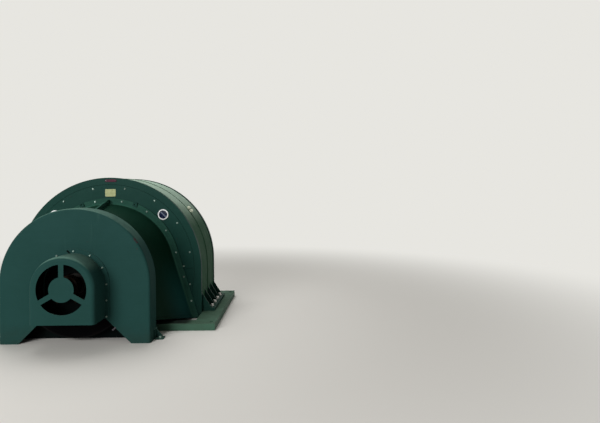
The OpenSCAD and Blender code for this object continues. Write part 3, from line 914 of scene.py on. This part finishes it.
@dataclass
class Hoods:
    """Front and rear hoods with their flange screws and the screws through their ridges."""

    flange_radius: float = 0.830
    flange_thickness: float = 0.018
    arc_angles: tuple[float, ...] = (11.25, 33.75, 56.25)
    side_heights: tuple[float, ...] = (0.798, 0.504, 0.212)
    flare: float = 17.0
    flats: float = 0.016
    body_radius: float = 0.778
    nose_radius: float = 0.590
    taper_start: float = 0.054
    ridge_height: float = 0.060
    ridge_half: float = 0.012
    ridge_flats: float = 0.017
    front_reaches: tuple[float, ...] = (0.085, 0.235, 0.385, 0.535, 0.685)
    rear_reaches: tuple[float, ...] = (0.075, 0.165, 0.255)
    lip_height: float = 0.014
    lip_thickness: float = 0.016
    lip_from_flange: float = 0.062
    lip_from_nose: float = 0.012
    side_least_x: float = 0.55
    nose_margin: float = 0.002
    side_least_normal: float = 0.35
    weld_distance: float = 0.00005

    def reach(self, end: End) -> tuple[float, float]:
        """Y of a hood's flange, where it meets the stator, and of its nose."""
        low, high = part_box(f"{end}_hood_left")
        return (high.y, low.y) if end is End.FRONT else (low.y, high.y)

    def flange_seats(self, end: End) -> Iterator[Seat]:
        """Seats of the screws on one flange.

        Args:
            end: The end whose hood it is.

        Yields:
            Point and direction of each screw.
        """
        lean, out = math.radians(self.flare), end.value
        face_y = self.reach(end)[0] + out * self.flange_thickness
        for side in (-1, 1):
            for degrees in self.arc_angles:
                x, z = round_shaft(self.flange_radius, side * degrees)
                yield (x, face_y, z), (0, out, 0)
            for z in self.side_heights:
                fall = SHAFT_Z + self.flange_radius * math.sin(lean) - z
                x = self.flange_radius * math.cos(lean) + fall * math.tan(lean)
                yield (side * x, face_y, z), (0, out, 0)

    def ridge_seats(self, end: End, steps: Iterable[float]) -> Iterator[Seat]:
        """Seats of the screws and nuts on both faces of a hood's ridge.

        Args:
            end: The end whose hood it is.
            steps: Distance of each screw from the flange's back face.

        Yields:
            Point and direction of each screw and nut.
        """
        root, nose = self.reach(end)
        fall = (self.body_radius - self.nose_radius) / (abs(root - nose) - self.taper_start)
        for step in steps:
            radius = self.body_radius - fall * max(step - self.taper_start, 0.0)
            y, z = root + end.value * step, SHAFT_Z + radius + self.ridge_height / 2
            yield (self.ridge_half, y, z), (1, 0, 0)
            yield (-self.ridge_half, y, z), (-1, 0, 0)

    def lip(self, end: End, side: Side) -> None:
        """Lays a thin strip along the bottom edge of a hood's side, cut from the hood's mesh.

        Args:
            end: The end whose hood it is.
            side: The side of the hood.
        """
        node = f"{end}_hood_{side}"
        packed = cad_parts[node].data
        root, nose = self.reach(end)
        out, bottom = end.value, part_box(node)[0].z
        face_y = root + out * self.flange_thickness
        nose_z = min(v.co.z for v in packed.vertices
                     if abs(v.co.x) > self.side_least_x and abs(v.co.y - nose) < self.nose_margin)
        under = Vector((0, (nose_z - bottom) / (nose - face_y), -1)).normalized()
        piece = Piece(f"{end}_hood_lip_{side}", Finish.HOOD, "deep_paint")
        mesh = piece.mesh
        mesh.from_mesh(packed)
        bmesh.ops.remove_doubles(mesh, verts=mesh.verts, dist=self.weld_distance)
        cuts = (((0, face_y, bottom + self.lip_height), -under),
                ((0, root + out * self.lip_from_flange, 0), (0, -out, 0)),
                ((0, nose - out * self.lip_from_nose, 0), (0, out, 0)))
        for point, normal in cuts:
            geometry = mesh.verts[:] + mesh.edges[:] + mesh.faces[:]
            bmesh.ops.bisect_plane(mesh, geom=geometry, plane_co=point, plane_no=normal,
                                   clear_outer=True)
        inner = [f for f in mesh.faces if f.normal.x * side.value < self.side_least_normal
                 or abs(f.calc_center_median().x) < self.side_least_x]
        bmesh.ops.delete(mesh, geom=inner, context="FACES")
        bmesh.ops.solidify(mesh, geom=mesh.faces[:], thickness=-self.lip_thickness)
        piece.finished()

    def build(self) -> None:
        """Dresses both hoods and adds their screws and lips."""
        for side in Side:
            for end in End:
                dress(Finish.HOOD, f"{end}_hood_{side}")
                self.lip(end, side)
            dress(Finish.STATOR, f"lifting_lug_{side}")
        for end in End:
            Screws(f"{end}_hood_screws", self.flats).build(self.flange_seats(end))
        for end, steps in ((End.FRONT, self.front_reaches), (End.REAR, self.rear_reaches)):
            Screws(f"{end}_ridge_screws", self.ridge_flats, Finish.HOOD,
                   "deep_paint").build(self.ridge_seats(end, steps))


@dataclass(frozen=True)
class BarePlate:
    """A thin plate without lettering, or several alike, on a face that looks to the front.

    Attributes:
        middles: X and height above the shaft's axis of each.
        lean: Turn of its width from the level, in degrees.
        rivet_rows: Rows of its rivets: -1 at its bottom, 0 at half its height, 1 at its top.
    """

    name: str
    finish: Finish
    slot: str
    middles: tuple[tuple[float, float], ...]
    size: Point
    corner: float
    corner_steps: int
    edge: float
    lean: float = 0.0
    rivet_inset: float = 0.0
    rivet_rows: tuple[int, ...] = ()

    def build(self, face_y: float) -> list[Seat]:
        """Adds the plate.

        Args:
            face_y: Y of the face that it lies on.

        Returns:
            Seats of its rivets.
        """
        piece = Piece(self.name, self.finish, self.slot)
        width, height, thickness = self.size
        seats = []
        for x, rise in self.middles:
            place = facing((x, face_y, SHAFT_Z + rise), FORWARD, math.radians(self.lean))
            piece.plate(place, self.size, self.corner, self.corner_steps, self.edge)
            seats += [((x + across * (width / 2 - self.rivet_inset), face_y - thickness,
                        SHAFT_Z + rise + up * (height / 2 - self.rivet_inset)), FORWARD)
                      for across in (-1, 1) for up in self.rivet_rows]
        piece.finished()
        return seats


@dataclass
class Stator:
    """Stator with its rings, shields, windows, wrapper and feet."""

    shield_radius: float = 0.988
    shield_angles: tuple[float, ...] = (11.25, 33.75, 56.25, 78.75, 101.25)
    joint_x: float = 0.8965
    joint_rise: float = 0.027
    flats: float = 0.016
    foot_flats: float = 0.036
    foot_x: float = 1.205
    foot_thickness: float = 0.036
    foot_screws: int = 4
    rivet_flats: float = 0.007
    yellow: BarePlate = BarePlate("yellow_plate", Finish.YELLOW, "white_frame",
                                  ((0.017, 0.921),), (0.126, 0.090, 0.004), 0.006, 3, 0.0012,
                                  rivet_inset=0.010, rivet_rows=(-1, 1))
    red: BarePlate = BarePlate("red_plate", Finish.RED, "deep_paint", ((0.022, 1.068),),
                               (0.140, 0.031, 0.005), 0.01519, 8, 0.0015,
                               rivet_inset=0.014, rivet_rows=(0,))

    def shield_seats(self, end: End) -> Iterator[Seat]:
        """Seats of the screws on one pair of end shields.

        Args:
            end: The end that the shields close.

        Yields:
            Point and direction of each screw.
        """
        low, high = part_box(f"{end}_end_shield_upper")
        face_y = low.y if end is End.FRONT else high.y
        for side in (-1, 1):
            for degrees in self.shield_angles:
                x, z = round_shaft(self.shield_radius, side * degrees)
                yield (x, face_y, z), (0, end.value, 0)
            yield (side * self.joint_x, face_y, SHAFT_Z + self.joint_rise), (0, end.value, 0)

    def foot_seats(self) -> Iterator[Seat]:
        """Seats of the holding down screws, between the gussets of both feet.

        Yields:
            Point and direction of each screw.
        """
        low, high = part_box("stator_foot_right")
        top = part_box("bedplate_right_rail")[1].z + self.foot_thickness
        step = (high.y - low.y) / self.foot_screws
        for side in (-1, 1):
            for index in range(self.foot_screws):
                yield (side * self.foot_x, low.y + step * (index + 0.5), top), (0, 0, 1)

    def build(self) -> None:
        """Dresses the stator and adds its screws and its two bare plates with their rivets."""
        dress(Finish.STATOR, "stator_front_ring", "stator_rear_ring",
              *(f"{end}_end_shield_{half}" for end in End for half in ("upper", "lower")))
        dress(Finish.WRAPPER, *(f"stator_wrapper_{part}" for part in ("front", "strap", "rear")))
        dress(Finish.CLAMP, "strap_clamps")
        for side in Side:
            dress(Finish.WINDOW, f"window_frame_{side}")
            dress(Finish.GLASS, f"window_glass_{side}")
            dress(Finish.STATOR, f"stator_foot_{side}")
        for end, seed in ((End.FRONT, 7), (End.REAR, 8)):
            Screws(f"{end}_shield_screws", self.flats, seed=seed).build(self.shield_seats(end))
        Screws("foot_screws", self.foot_flats, Finish.STEEL, seed=9).build(self.foot_seats())
        rivets = (self.yellow.build(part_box("front_end_shield_upper")[0].y)
                  + self.red.build(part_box("stator_front_ring")[0].y))
        left_to_right = sorted(rivets)
        Screws("plate_rivets", self.rivet_flats, washer=False).build(left_to_right)


@dataclass
class FlywheelEnd:
    """Flywheel, its cover, and the vented cover over the slip rings."""

    flange_radius: float = 0.337
    flange_thickness: float = 0.010
    flange_step: float = 30.0
    flats: float = 0.014
    drop_x: float = 0.330
    drops: tuple[float, ...] = (0.0, 0.163, 0.326)
    foot_x: float = 0.830
    foot_thickness: float = 0.012
    foot_inset: float = 0.022
    foot_flats: float = 0.024
    clips: BarePlate = BarePlate("slip_ring_cover_clips", Finish.CLIP, "deep_paint",
                                 ((-0.054, 0.336), (-0.036, 0.316)), (0.026, 0.014, 0.009),
                                 0.003, 2, 0.001, lean=-40.0)
    tab: BarePlate = BarePlate("cutout_tab", Finish.TAB, "bare_steel", ((0.402, -0.454),),
                               (0.042, 0.014, 0.005), 0.003, 3, 0.001, lean=43.0)

    def flange_seats(self) -> Iterator[Seat]:
        """Seats of the screws round the flange of the slip ring cover.

        Yields:
            Point and direction of each screw.
        """
        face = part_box("flywheel_cover_front")[0].y - self.flange_thickness
        for step in range(-2, 3):
            x, z = round_shaft(self.flange_radius, step * self.flange_step)
            yield (x, face, z), FORWARD
        for side in (-1, 1):
            for drop in self.drops:
                yield (side * self.drop_x, face, SHAFT_Z - drop), FORWARD

    def build(self) -> None:
        """Dresses the covers, the wheel and the slip rings, and adds screws, clips and tab."""
        dress(Finish.COVER, "flywheel_cover_rim", "flywheel_cover_front", "flywheel_cover_back",
              "slip_ring_cover", *(f"flywheel_cover_foot_{side}" for side in Side))
        dress(Finish.WHEEL, "flywheel")
        dress(Finish.RINGS, "slip_rings")
        dress(Finish.BRUSHES, "brush_gear")
        Screws("slip_ring_cover_screws", self.flats, seed=11).build(self.flange_seats())
        low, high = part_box("flywheel_cover_foot_right")
        Screws("cover_foot_screws", self.foot_flats, seed=12).build(
            ((side * self.foot_x, y, self.foot_thickness), (0, 0, 1)) for side in (-1, 1)
            for y in (low.y + self.foot_inset, high.y - self.foot_inset))
        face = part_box("flywheel_cover_front")[0].y
        self.clips.build(face - self.flange_thickness)
        self.tab.build(face)


@dataclass
class ShaftLine:
    """Shaft, bearings, rear bearing cap and coupling flange."""

    cap_radius: float = 0.222
    cap_screws: int = 8
    flats: float = 0.024

    def build(self) -> None:
        """Dresses the shaft line and adds the screws round the rear bearing's cap."""
        dress(Finish.STEEL, "shaft", "coupling_flange", "front_bearing", "rear_bearing")
        dress(Finish.HOOD, "rear_bearing_cap")
        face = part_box("rear_bearing_cap")[1].y
        circle = (round_shaft(self.cap_radius, (index + 0.5) * 360 / self.cap_screws)
                  for index in range(self.cap_screws))
        Screws("bearing_cap_screws", self.flats, seed=13).build(
            ((x, face, z), (0, 1, 0)) for x, z in circle)


@dataclass
class Bedplate:
    """Beams and rails that the stator stands between."""

    def build(self) -> None:
        """Dresses the four members."""
        dress(Finish.BED, "bedplate_front_beam", "bedplate_rear_beam",
              *(f"bedplate_{side}_rail" for side in Side))


# Studio.


@dataclass(frozen=True)
class Lamp:
    """A soft square lamp."""

    name: str
    place: Point
    aim: Point
    size: float
    power: float

    def hang(self) -> None:
        """Hangs the lamp and turns it to the point that it lights."""
        data = bpy.data.lights.new(self.name, "AREA")
        data.shape, data.size, data.energy = "SQUARE", self.size, self.power
        made = bpy.data.objects.new(self.name, data)
        made.location = self.place
        way = Vector(self.aim) - Vector(self.place)
        made.rotation_euler = way.to_track_quat("-Z", "Y").to_euler()
        bpy.context.scene.collection.objects.link(made)


@dataclass
class Studio:
    """Floor, light and camera of the picture.

    Attributes:
        fade: Distances from the machine between which the floor runs out into the wall.
        lit_level: Strength of the room's light.
        seen_level: Strength with which the room shows, which keeps the wall's colour.
    """

    eye: Point = (2.25, -6.158, 1.55)
    lens: float = 30.0
    sensor: float = 36.0
    shift: tuple[float, float] = (0.00833, -0.0375)
    roll: float = 0.55
    floor_size: float = 120.0
    floor_colour: Colour = (0.74, 0.72, 0.68)
    floor_shade: Colour = (0.64, 0.62, 0.58)
    floor_roughness: float = 0.6
    floor_gloss: float = 0.1
    fade: tuple[float, float] = (3.2, 8.0)
    wall_colour: Colour = (0.80, 0.79, 0.75)
    lit_level: float = 0.20
    seen_level: float = 1.0
    lamps: tuple[Lamp, ...] = (
        Lamp("window_light", (-4.0, -12.4, 4.4), (0, -0.3, 0.6), 6.2, 1540.0),
        Lamp("roof_light", (-1.0, 1.6, 7.0), (0, 0.4, 0.5), 5.0, 330.0),
    )

    def camera(self) -> None:
        """Sets up the camera at the photograph's place."""
        data = bpy.data.cameras.new("camera")
        data.sensor_width, data.lens = self.sensor, self.lens
        data.shift_x, data.shift_y = self.shift
        made = bpy.data.objects.new("camera", data)
        made.location = self.eye
        made.rotation_euler = (math.radians(90), math.radians(self.roll), 0)
        bpy.context.scene.collection.objects.link(made)
        bpy.context.scene.camera = made

    def seen(self, tree: Tree) -> Value:
        """1 on rays that show the room: the camera's, mirrored ones and those through glass."""
        rays = tree.node("ShaderNodeLightPath", {}, {}).outputs
        return (Value(tree, rays["Is Camera Ray"]) + Value(tree, rays["Is Glossy Ray"])
                + Value(tree, rays["Is Transmission Ray"])).held()

    def floor(self) -> None:
        """Lays the plain floor, which runs out into the wall's colour far from the machine."""
        tree = Tree.paint("floor")
        wash = tree.noise(0.8, 2.0)
        colour = tree.mix(wash * 0.08, self.floor_colour, self.floor_shade)
        near = tree.node("ShaderNodeBsdfPrincipled", {}, {
            "Base Color": colour, "Roughness": self.floor_roughness,
            "Specular IOR Level": self.floor_gloss})
        wall = tree.node("ShaderNodeEmission", {}, {
            "Color": (*self.wall_colour, 1.0), "Strength": self.seen_level})
        far = tree.away((0.0, 0.0, 0.0)).over(*self.fade) * self.seen(tree)
        mixed = tree.node("ShaderNodeMixShader", {}, {
            0: far, 1: near.outputs["BSDF"], 2: wall.outputs["Emission"]})
        tree.links.new(mixed.outputs[0], tree.output.inputs["Surface"])
        mesh = bmesh.new()
        bmesh.ops.create_grid(mesh, x_segments=1, y_segments=1, size=self.floor_size / 2)
        data = bpy.data.meshes.new("floor")
        mesh.to_mesh(data)
        mesh.free()
        data.materials.append(tree.owner)
        made = bpy.data.objects.new("floor", data)
        bpy.context.scene.collection.objects.link(made)
        made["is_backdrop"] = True

    def world(self) -> None:
        """Lights the room evenly, with a pale wall where the camera and polished faces look."""
        bpy.context.scene.world = bpy.data.worlds.new("room")
        tree = Tree(bpy.context.scene.world, "ShaderNodeOutputWorld")
        lit, wall = (tree.node("ShaderNodeBackground", {}, {
            "Color": (*self.wall_colour, 1.0), "Strength": level}).outputs[0]
            for level in (self.lit_level, self.seen_level))
        mixed = tree.node("ShaderNodeMixShader", {}, {0: self.seen(tree), 1: lit, 2: wall})
        tree.links.new(mixed.outputs[0], tree.output.inputs["Surface"])

    def build(self) -> None:
        """Sets up the studio."""
        self.camera()
        self.floor()
        self.world()
        for lamp in self.lamps:
            lamp.hang()
        bpy.context.scene.view_settings.view_transform = "Standard"


def write_sizes() -> None:
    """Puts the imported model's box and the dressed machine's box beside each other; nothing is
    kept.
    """
    boxes = {"cad": CAD_BOX, "visual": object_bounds()}
    {name: [list(corner) for corner in pair] for name, pair in boxes.items()}


def main() -> None:
    """Builds the dressed machine and its studio."""
    logging.basicConfig(level=logging.INFO, format="%(name)s: %(message)s")
    for assembly in (Bedplate(), Stator(), Hoods(), FlywheelEnd(), ShaftLine()):
        log.info("building %s", type(assembly).__name__)
        assembly.build()
    Studio().build()
    write_sizes()


if __name__ == "__main__":
    main()
